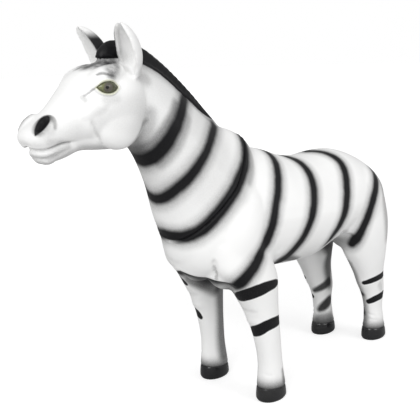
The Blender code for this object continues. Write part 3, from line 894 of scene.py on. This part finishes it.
def shape_hooves(skin):
    """A groove at each hoof's upper edge, a wall that flares a little below it, and a rounded foot."""
    places = read_places(skin)
    shifted = places.copy()
    right = places[:, 0] < 0
    shifted[:, 1] -= np.where(right, np.where(places[:, 1] < 0, RIGHT_FORE_STEP, RIGHT_HIND_STEP), 0)
    gap = hoof_gap(shifted)
    low = places[:, 2] < 0.12
    groove = 0.0024 * np.exp(-(((gap - 0.001) / 0.0045) ** 2))
    waist = np.where(places[:, 1] > 0, 0.0020, 0.0) * np.exp(-(((gap - 0.030) / 0.022) ** 2))
    flare = 0.0022 * smooth_step(-gap / 0.040)
    foot = 0.0052 * np.clip(1 - (places[:, 2] + SOLE_DROP) / 0.011, 0, 1) ** 2
    normals = read_normals(skin)
    normals[:, 2] = 0
    push_out(skin, np.where(low, flare - groove - waist - foot, 0), normals)


def shape_tail(skin):
    """Combs the tuft of the tail with long shallow flutes."""
    places = read_places(skin)
    gap = line_gap(places, line_through(TAIL_TUFT), 0.02)
    turn = np.arctan2(places[:, 0], places[:, 1] - 0.568)
    flutes = 0.0022 * np.sin(turn * 11 + np.sin(places[:, 2] * 40) * 0.8)
    push_out(skin, flutes * smooth_step(-gap / 0.012))


def cut(skin, point, outward):
    """Cuts the skin flat at a plane, keeps its inner side and closes it."""
    select_only(skin)
    bpy.ops.object.mode_set(mode="EDIT")
    bpy.ops.mesh.select_mode(type="VERT")
    bpy.ops.mesh.select_all(action="SELECT")
    bpy.ops.mesh.bisect(plane_co=point, plane_no=outward, use_fill=True, clear_outer=True, threshold=1e-6)
    bpy.ops.mesh.select_all(action="SELECT")
    bpy.ops.mesh.quads_convert_to_tris(quad_method="BEAUTY", ngon_method="BEAUTY")
    bpy.ops.object.mode_set(mode="OBJECT")


def seam_way():
    rise = math.radians(SEAM_RISE)
    return Vector((0, -math.sin(rise), math.cos(rise)))


def figure_shift():
    """From the stations' own places to the frame, where the middle of the CAD model's box is the origin."""
    return Vector((0, -FIGURE_MIDDLE, SOLE_DROP)) * withers_height()


def store(skin, name, values):
    attribute = skin.data.attributes.new(name, "FLOAT", "POINT")
    attribute.data.foreach_set("value", np.asarray(values, np.float32))


def read_stored(skin, name):
    values = np.empty(len(skin.data.vertices), np.float32)
    skin.data.attributes[name].data.foreach_get("value", values)
    return values.astype(float)


def grey_amount(places, sprays, tree):
    """The grey that soft sprays and painted shade leave at each place, from 0 to 1."""
    clear = np.ones(len(places))
    for line, fade, strength in sprays:
        fade /= THOUSAND
        gap = line_gap(places, laid_on(line, tree), fade)
        clear *= 1 - strength * smooth_step(1 - gap / fade)
    return 1 - clear


def stripe_gap(places, lines, tree, reach):
    """How far each place is outside the nearest stripe, and below 0 inside one."""
    gap = np.full(len(places), reach)
    for line in lines:
        rows = laid_on(line, tree)
        # The line runs on evenly where the skin under it has a crease
        for _ in range(14):
            rows[1:-1, :3] = (rows[:-2, :3] + 2 * rows[1:-1, :3] + rows[2:, :3]) / 4
        gap = np.minimum(gap, line_gap(places, rows, reach))
    return gap


def store_paint(skin):
    """Works out where every paint and painted shade lies and keeps it on the skin, with distances in metres."""
    withers, tree = withers_height(), skin_tree(skin)
    raw = read_places(skin)
    places, fore, hind = folded(raw), folded(raw, RIGHT_FORE_STEP), folded(raw, RIGHT_HIND_STEP)
    reach = 0.05
    stripe = stripe_gap(places, STRIPES, tree, reach) - STRIPE_SPREAD
    stripe = np.minimum(stripe, line_gap(places, line_through(TAIL_TUFT), reach))
    # The right foreleg's bars reach less far round its inner side
    inset = fore - np.outer(raw[:, 0] < 0, (0.012, 0, 0))
    bars = np.full(len(raw), reach)
    for seen, lines in ((inset, FORELEG_BARS), (hind, HINDLEG_BARS), (places, [NOSTRIL])):
        bars = np.minimum(bars, stripe_gap(seen, lines, tree, reach))
    # Sprays of grey paint, and painted shade in creases, hollows and undersides
    clear = np.ones(len(raw))
    for seen, sprays in ((places, HEAD_SPRAYS_AND_SHADE + BODY_SPRAYS_AND_SHADE), (fore, FORELEG_SPRAYS_AND_SHADE),
                         (hind, HINDLEG_SPRAYS_AND_SHADE), (raw, LEFT_SPRAYS_AND_SHADE)):
        clear *= 1 - grey_amount(seen, sprays, tree)
    # The neck is greyer close to the mane
    mane = read_stored(skin, "mane_gap") / withers
    clear *= 1 - 0.34 * smooth_step(1 - mane / 0.045)
    # The side of each ear that faces the crown is charcoal, and so is the crown between the ears
    medial = places[:, 0] - (EAR_PAINT_PLACE + EAR_PAINT_LEAN * (places[:, 2] - EAR_PAINT_HEIGHT))
    to_crown = -read_normals(skin)[:, 0] * np.sign(raw[:, 0])
    ear = smooth_step((0.006 - medial) / 0.010) * smooth_step((to_crown + 0.05) / 0.35)
    ear = np.maximum(ear, smooth_step((0.046 - places[:, 0]) / 0.006))
    ear *= (places[:, 2] > 1.340) & (places[:, 1] < -0.80)
    clear *= 1 - 0.995 * ear * smooth_step((1.438 - places[:, 2]) / 0.035)
    # Painted shade: under the chest's edge it is dark down to the tops of the forelegs
    under = smooth_step((0.0015 - read_stored(skin, "chest_gap")) / 0.003)
    under *= smooth_step((places[:, 2] - 0.460) / 0.060)
    under *= smooth_step((0.165 - places[:, 0]) / 0.02) * (places[:, 1] < -0.36)
    clear *= 1 - 0.99 * under
    # The whole neck is a little greyer
    neck = smooth_step((places[:, 1] + 0.90) / 0.12) * smooth_step((-0.36 - places[:, 1]) / 0.12)
    neck *= smooth_step((places[:, 2] - 0.70) / 0.2)
    clear *= 1 - 0.15 * neck
    legs = places[:, 2] < 0.2
    hoof = np.where(legs, np.where(places[:, 1] < 0, hoof_gap(fore), hoof_gap(hind)), 0.2)
    clear *= 1 - 0.84 * smooth_step(1 - hoof / HOOF_FADE) ** 1.5
    along, up, out = eye_place(places)
    far = (np.abs(out) > 0.05) | (np.abs(along) > 4) | (np.abs(up) > 6)
    store(skin, "stripe_gap", stripe * withers)
    store(skin, "bar_gap", bars * withers)
    store(skin, "hoof_gap", hoof * withers)
    store(skin, "spray_and_shade", 1 - clear)
    store(skin, "brushed", grey_amount(places, FOREHEAD_BRUSHING, tree))
    store(skin, "eye_along", np.where(far, 9, along))
    store(skin, "eye_up", np.where(far, 9, up))


def finish_casting(skin, node):
    """Moves a casting into the frame, gives it its paints and lets it stand for its CAD node."""
    shift = np.array(figure_shift())
    write_points(skin, read_points(skin) + shift)
    select_only(skin)
    bpy.ops.object.shade_smooth_by_angle(angle=math.radians(50))
    skin.data.materials.clear()
    for name in FINISHES:
        skin.data.materials.append(bpy.data.materials[name])
    # The casting is all triangles by now
    corners = np.empty(len(skin.data.loops), int)
    skin.data.loops.foreach_get("vertex_index", corners)
    corners = corners.reshape(-1, 3)
    along, up = read_stored(skin, "eye_along"), read_stored(skin, "eye_up")
    in_eye = (np.abs(up) < lid_height(along))[corners].all(axis=1)
    on_hoof = (read_stored(skin, "hoof_gap") < 0)[corners].all(axis=1)
    skin.data.polygons.foreach_set("material_index", np.where(in_eye, 2, np.where(on_hoof, 1, 0)))
    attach(skin, "root")
    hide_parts(node)


class Nodes:
    """Short ways to add and link a material's nodes."""

    def __init__(self, material):
        self.tree = material.node_tree

    def add(self, kind, **settings):
        node = self.tree.nodes.new(kind)
        for name, value in settings.items():
            setattr(node, name, value)
        return node

    def link(self, source, target):
        if isinstance(source, (int, float)):
            target.default_value = source
        else:
            self.tree.links.new(source, target)

    def attribute(self, name):
        return self.add("ShaderNodeAttribute", attribute_name=name).outputs["Fac"]

    def math(self, operation, first, second=0.0, clamp=False):
        node = self.add("ShaderNodeMath", operation=operation, use_clamp=clamp)
        self.link(first, node.inputs[0])
        self.link(second, node.inputs[1])
        return node.outputs[0]

    def times(self, first, second, clamp=False):
        return self.math("MULTIPLY", first, second, clamp)

    def plus(self, first, second, clamp=False):
        return self.math("ADD", first, second, clamp)

    def less(self, first, second, clamp=False):
        return self.math("SUBTRACT", first, second, clamp)

    def ramp(self, value, low, high, at_low=1.0, at_high=0.0):
        """A smooth change from one value to another between two limits."""
        node = self.add("ShaderNodeMapRange", interpolation_type="SMOOTHSTEP")
        sockets = ("Value", "From Min", "From Max", "To Min", "To Max")
        for source, socket in zip((value, low, high, at_low, at_high), sockets):
            self.link(source, node.inputs[socket])
        return node.outputs["Result"]

    def noise(self, place, scale, detail=2.0, roughness=0.5):
        node = self.add("ShaderNodeTexNoise")
        self.link(place, node.inputs["Vector"])
        node.inputs["Scale"].default_value = scale
        node.inputs["Detail"].default_value = detail
        node.inputs["Roughness"].default_value = roughness
        return node.outputs["Fac"]

    def mix(self, amount, first, second):
        """A colour between two; each is a colour or a socket."""
        node = self.add("ShaderNodeMix", data_type="RGBA")
        self.link(amount, node.inputs["Factor"])
        for value, socket in ((first, node.inputs["A"]), (second, node.inputs["B"])):
            if isinstance(value, tuple):
                socket.default_value = value
            else:
                self.tree.links.new(value, socket)
        return node.outputs["Result"]


def grey(level):
    return (level, level, level, 1.0)


def round_distance(n, along, up, middle, stretch):
    """Distance in the eye's plane from a point along it, with the length stretched."""
    sideways = n.times(n.less(along, middle), stretch)
    return n.math("SQRT", n.plus(n.math("POWER", sideways, 2.0), n.math("POWER", up, 2.0)))


def paint_eye(n, painted, grain):
    """A painted eye: a pale rim, a dark almond line, an olive ground, a grey brown iris and a small pupil."""
    paint = bpy.context.scene.zebra_paint
    along, up = n.attribute("eye_along"), n.attribute("eye_up")
    square = n.math("POWER", n.math("ABSOLUTE", along), 2.2)
    opening = n.math("POWER", n.less(1.0, square, True), 0.85)
    inside = n.less(n.math("ABSOLUTE", up), opening)
    near = n.ramp(n.math("ABSOLUTE", along), 0.98, 1.18)
    rim = n.times(n.times(n.ramp(inside, 0.08, 0.50), near), 0.48)
    painted = n.mix(rim, painted, tuple(paint.eye_rim))
    almond = n.times(n.ramp(inside, -0.06, 0.10), n.math("LESS_THAN", n.math("ABSOLUTE", along), 1.0))
    # The olive ground is light at the front corner and darker towards the rear one
    olive = tuple(paint.eye_olive)
    ground = n.mix(n.ramp(along, -0.30, 0.75, 0.0, 1.0), tuple(0.42 * c for c in olive[:3]) + (1.0,), olive)
    iris = n.ramp(round_distance(n, along, up, 0.14, 2.0), 0.62, 0.98)
    tone = n.mix(iris, ground, tuple(paint.iris))
    tone = n.mix(n.ramp(grain, 0.40, 0.62, 0.0, 0.30), tone, grey(0.045))
    lid = n.times(n.ramp(n.times(inside, -1.0), 0.0, 0.34), n.ramp(up, -0.6, 0.5, 0.55, 0.90))
    tone = n.mix(lid, tone, (0.034, 0.036, 0.017, 1.0))
    pupil = n.ramp(round_distance(n, along, up, 0.26, 2.0), 0.20, 0.36)
    tone = n.mix(pupil, tone, grey(0.003))
    return n.mix(almond, painted, tone)


def build_finish(name, gloss, specular):
    """White vinyl with airbrushed charcoal, painted shade, crisp painted bars, black hooves and painted eyes, at
    one gloss.
    """
    paint = bpy.context.scene.zebra_paint
    material = bpy.data.materials.new(name)
    material.use_nodes = True
    shader = material.node_tree.nodes["Principled BSDF"]
    n = Nodes(material)
    place = n.add("ShaderNodeTexCoord").outputs["Object"]
    vinyl, charcoal, hoof_black = tuple(paint.vinyl), tuple(paint.charcoal), tuple(paint.hoof)

    # The bare vinyl varies a little in whiteness
    cloud = n.noise(place, 14.0, 3.0)
    speckle = n.noise(place, 700.0, 2.0, 0.7)
    grain = n.noise(place, 260.0, 3.0, 0.65)
    bare = n.mix(n.ramp(cloud, 0.35, 0.7, 0.0, 0.5), vinyl, tuple(0.93 * c for c in vinyl[:3]) + (1.0,))

    # Sprayed stripes wander a little and fade at their edges into a haze
    wander = n.times(n.less(n.noise(place, 75.0, 3.0), 0.5), 0.0024)
    fine = n.times(n.less(grain, 0.5), 0.0010)
    stripe_gap = n.plus(n.plus(n.attribute("stripe_gap"), wander), fine)
    stripe = n.ramp(stripe_gap, -paint.edge, paint.edge)
    haze = n.ramp(stripe_gap, -0.001, paint.overspray, 0.42, 0.0)
    bar_gap = n.plus(n.attribute("bar_gap"), n.times(wander, 0.6))
    bar = n.ramp(bar_gap, -paint.crisp_edge, paint.crisp_edge)
    mane_gap_value = n.plus(n.attribute("mane_gap"), n.times(wander, 0.4))
    mane = n.ramp(mane_gap_value, -0.0006, 0.0006)

    # Sprays and painted shade are even, and only the forehead's grey is brushed and patchy
    patchy = n.ramp(n.noise(place, 85.0, 3.0, 0.55), 0.34, 0.66, 0.55, 1.05)
    brushed = n.times(n.attribute("brushed"), patchy, True)
    clear = n.times(n.less(1.0, n.attribute("spray_and_shade")), n.less(1.0, haze))
    clear = n.times(clear, n.less(1.0, brushed))
    dark = n.less(1.0, clear, True)
    # The droplets show where the grey of sprays and painted shade is thin
    thin = n.times(n.times(dark, clear), n.ramp(speckle, 0.3, 0.7, -0.22, 0.22))
    sprayed_and_shaded = n.mix(n.plus(dark, thin, True), bare, charcoal)
    coat = n.math("MAXIMUM", n.math("MAXIMUM", stripe, bar), mane)
    coat = n.times(coat, n.ramp(speckle, 0.25, 0.6, 0.992, 1.0))
    painted = n.mix(coat, sprayed_and_shaded, charcoal)

    # Hooves are dipped in black, with some bluish wear
    hoof_gap_value = n.plus(n.attribute("hoof_gap"), n.times(wander, 0.8))
    hoof = n.ramp(hoof_gap_value, -0.0008, 0.0020)
    painted = n.mix(hoof, painted, n.mix(n.ramp(cloud, 0.4, 0.65, 0.0, 0.6), hoof_black, grey(0.020)))
    painted = paint_eye(n, painted, grain)
    n.link(painted, shader.inputs["Base Color"])

    rough = n.ramp(n.noise(place, 40.0, 2.0), 0.3, 0.7, 0.44 - gloss, 0.52 - gloss)
    n.link(n.plus(rough, n.times(coat, 0.04)), shader.inputs["Roughness"])
    bump = n.add("ShaderNodeBump")
    bump.inputs["Strength"].default_value = 0.10
    bump.inputs["Distance"].default_value = 0.0006
    n.link(n.plus(n.times(grain, 0.6), n.times(cloud, 1.2)), bump.inputs["Height"])
    material.node_tree.links.new(bump.outputs["Normal"], shader.inputs["Normal"])
    shader.inputs["IOR"].default_value = 1.48
    shader.inputs["Specular IOR Level"].default_value = specular


# Each finish with how much smoother it is than the satin vinyl and how strongly it reflects
FINISHES = {"Painted vinyl": (0.0, 0.17), "Gloss hoof paint": (0.26, 0.60), "Gloss eye paint": (0.30, 0.50)}


class ZEBRA_OT_painted_vinyl(bpy.types.Operator):
    """Makes the finishes of both castings"""

    bl_idname = "zebra.painted_vinyl"
    bl_label = "Mix the painted vinyl"

    def execute(self, context):
        for name, (gloss, specular) in FINISHES.items():
            build_finish(name, gloss, specular)
        return {"FINISHED"}


class ZEBRA_OT_body_casting(bpy.types.Operator):
    """Models the body with its legs and tail, up to the seam round the neck"""

    bl_idname = "zebra.body_casting"
    bl_label = "Cast the body"

    def execute(self, context):
        form = context.scene.zebra_form
        parts = [add_form(station_rings(stations)) for stations in (TORSO, NECK, TAIL)]
        for side, fore_step, hind_step in ((1, 0.0, 0.0), (-1, RIGHT_FORE_STEP, RIGHT_HIND_STEP)):
            parts.append(add_form(station_rings(FORELEG), side, fore_step))
            parts.append(add_form(station_rings(HINDLEG), side, hind_step))
            parts += [add_mass(mass, side) for mass in (SHOULDER, HAUNCH)]
        skin = fuse(parts, "body_casting", form.body_cube)
        outward = seam_way()
        seam = Vector(SEAM_CENTRE) * form.withers
        cut(skin, seam + outward * 0.02, outward)
        places = read_points(skin) / form.withers
        rim = np.abs((places - np.array(SEAM_CENTRE)) @ np.array(outward)) < 0.022
        chest = (np.abs(chest_gap(folded(places))) < 0.035) & (places[:, 1] < -0.44)
        refine(skin, (places[:, 2] < 0.085) | rim | chest)
        mark_chest(skin)
        lift_flanks(skin)
        press(skin, BODY_CREASES)
        press(skin, FORELEG_CREASES, RIGHT_FORE_STEP)
        press(skin, HINDLEG_CREASES, RIGHT_HIND_STEP)
        shape_chest(skin)
        shape_hooves(skin)
        shape_tail(skin)
        mark_mane(skin)
        store_paint(skin)
        shape_seam(skin, outward)
        cut(skin, seam - outward * SEAM_GAP / 2, outward)
        cut(skin, Vector((0, 0, -SOLE_DROP * form.withers)), Vector((0, 0, -1)))
        finish_casting(skin, "body")
        return {"FINISHED"}


class ZEBRA_OT_head_casting(bpy.types.Operator):
    """Models the head and neck with ears, mane and face, down to the seam"""

    bl_idname = "zebra.head_casting"
    bl_label = "Cast the head and neck"

    def execute(self, context):
        form = context.scene.zebra_form
        parts = [add_form(station_rings(stations)) for stations in (NECK, MANE, HEAD, LOWER_JAW, TORSO[:6])]
        for side in (1, -1):
            parts.append(add_form(ear_rings(), side))
            masses = (JOWL, SHOULDER, EYEBALL, BROW, NOSTRIL_WING)
            parts += [add_mass(mass, side) for mass in masses]
        skin = fuse(parts, "head_and_neck_casting", form.head_cube)
        outward = -seam_way()
        seam = Vector(SEAM_CENTRE) * form.withers
        cut(skin, seam + outward * 0.012, outward)
        left = folded(read_points(skin) / form.withers)
        along, up, out = eye_place(left)
        eye = (np.abs(along) < 1.6) & (np.abs(up) < 2.6) & (np.abs(out) < 0.04)
        muzzle = left[:, 1] < -1.09
        refine(skin, eye | muzzle)
        mark_chest(skin)
        calm(skin, (0.100, -0.780, 1.165), 0.040, 30)
        press(skin, HEAD_CREASES)
        shape_eyes(skin)
        mark_mane(skin)
        raise_mane(skin)
        store_paint(skin)
        shape_seam(skin, outward)
        cut(skin, seam + outward * -SEAM_GAP / 2, outward)
        finish_casting(skin, "head_and_neck")
        return {"FINISHED"}


class ZEBRA_OT_studio(bpy.types.Operator):
    """Lays the pale floor, hangs the soft lights and sets up the camera"""

    bl_idname = "zebra.studio"
    bl_label = "Set up the studio"

    def execute(self, context):
        studio = context.scene.zebra_studio
        lay_floor(studio)
        light_sky(studio)
        hang_lights(studio)
        set_camera(studio)
        return {"FINISHED"}


def lay_floor(studio):
    """A wide pale floor, lit from below so that it runs into the white behind the figure."""
    bpy.ops.object.select_all(action="DESELECT")
    bpy.ops.mesh.primitive_plane_add(size=30)
    floor = bpy.context.object
    floor.name = "Studio_floor"
    material = bpy.data.materials.new("Pale floor")
    material.use_nodes = True
    shader = material.node_tree.nodes["Principled BSDF"]
    n = Nodes(material)
    place = n.add("ShaderNodeTexCoord").outputs["Object"]
    tone = n.mix(n.ramp(n.noise(place, 3.0), 0.3, 0.7, 0.0, 1.0), tuple(studio.floor), grey(0.53))
    n.link(tone, shader.inputs["Base Color"])
    shader.inputs["Roughness"].default_value = 0.8
    shader.inputs["Specular IOR Level"].default_value = 0.1
    shader.inputs["Emission Color"].default_value = grey(1.0)
    distance = n.add("ShaderNodeVectorMath", operation="LENGTH")
    n.link(place, distance.inputs[0])
    glow = n.ramp(distance.outputs["Value"], 0.6, 3.0, studio.glow, 0.9)
    seen = n.add("ShaderNodeLightPath").outputs["Is Camera Ray"]
    n.link(n.times(glow, seen), shader.inputs["Emission Strength"])
    floor.data.materials.append(material)


def light_sky(studio):
    """An even soft light all round, with pure white behind the figure."""
    world = bpy.data.worlds.new("Studio white")
    bpy.context.scene.world = world
    world.use_nodes = True
    n = Nodes(world)
    seen = n.add("ShaderNodeLightPath").outputs["Is Camera Ray"]
    background = world.node_tree.nodes["Background"]
    background.inputs["Color"].default_value = grey(1.0)
    n.link(n.ramp(seen, 0.0, 1.0, studio.sky, 1.0), background.inputs["Strength"])


def hang_lights(studio):
    """One large soft key light in front and a smaller light from the figure's left rear."""
    aim = Vector((0, 0, 0.27))
    lamps = (
        ("Key", (0.9, -1.9, 1.3), 1.6, studio.key),
        ("Side", (2.0, 0.6, 1.1), 1.2, studio.side),
    )
    for name, place, size, power in lamps:
        light = bpy.data.lights.new(name, "AREA")
        light.shape = "DISK"
        light.size = size
        light.energy = power
        lamp = bpy.data.objects.new(name, light)
        bpy.context.scene.collection.objects.link(lamp)
        lamp.location = place
        lamp.rotation_euler = (aim - Vector(place)).to_track_quat("-Z", "Y").to_euler()


def set_camera(studio):
    """The photograph's point of view: its place, and its right, up and forward ways."""
    right = Vector((0.6873, 0.7254, -0.0365))
    up = Vector((-0.1331, 0.1751, 0.9755))
    forward = Vector((-0.7141, 0.6656, -0.2170))
    camera = bpy.data.cameras.new("Camera")
    camera.lens = studio.lens
    camera.sensor_width = 36.0
    holder = bpy.data.objects.new("Camera", camera)
    bpy.context.scene.collection.objects.link(holder)
    turned = Matrix((right, up, -forward)).transposed().to_4x4()
    turned.translation = Vector((0.6572, -0.6649, 0.4627))
    holder.matrix_world = turned
    bpy.context.scene.camera = holder
    bpy.context.scene.view_settings.view_transform = "Standard"


class ZEBRA_PT_panel(bpy.types.Panel):
    """Lists the steps that make the zebra"""

    bl_idname = "ZEBRA_PT_panel"
    bl_label = "Vinyl toy zebra"
    bl_space_type = "VIEW_3D"
    bl_region_type = "UI"
    bl_category = "Zebra"

    def draw(self, context):
        for group in (context.scene.zebra_form, context.scene.zebra_paint, context.scene.zebra_studio):
            for name in group.__annotations__:
                self.layout.prop(group, name)
        for step in STEPS:
            self.layout.operator(step)


STEPS = ("zebra.painted_vinyl", "zebra.body_casting", "zebra.head_casting", "zebra.studio")
CLASSES = (
    ZebraForm,
    ZebraPaint,
    StudioSet,
    ZEBRA_OT_painted_vinyl,
    ZEBRA_OT_body_casting,
    ZEBRA_OT_head_casting,
    ZEBRA_OT_studio,
    ZEBRA_PT_panel,
)


def register():
    for each in CLASSES:
        bpy.utils.register_class(each)
    bpy.types.Scene.zebra_form = PointerProperty(type=ZebraForm)
    bpy.types.Scene.zebra_paint = PointerProperty(type=ZebraPaint)
    bpy.types.Scene.zebra_studio = PointerProperty(type=StudioSet)


def unregister():
    del bpy.types.Scene.zebra_studio
    del bpy.types.Scene.zebra_paint
    del bpy.types.Scene.zebra_form
    for each in reversed(CLASSES):
        bpy.utils.unregister_class(each)


def main():
    register()
    bpy.ops.zebra.painted_vinyl()
    bpy.ops.zebra.body_casting()
    bpy.ops.zebra.head_casting()
    bpy.ops.zebra.studio()


if __name__ == "__main__":
    main()
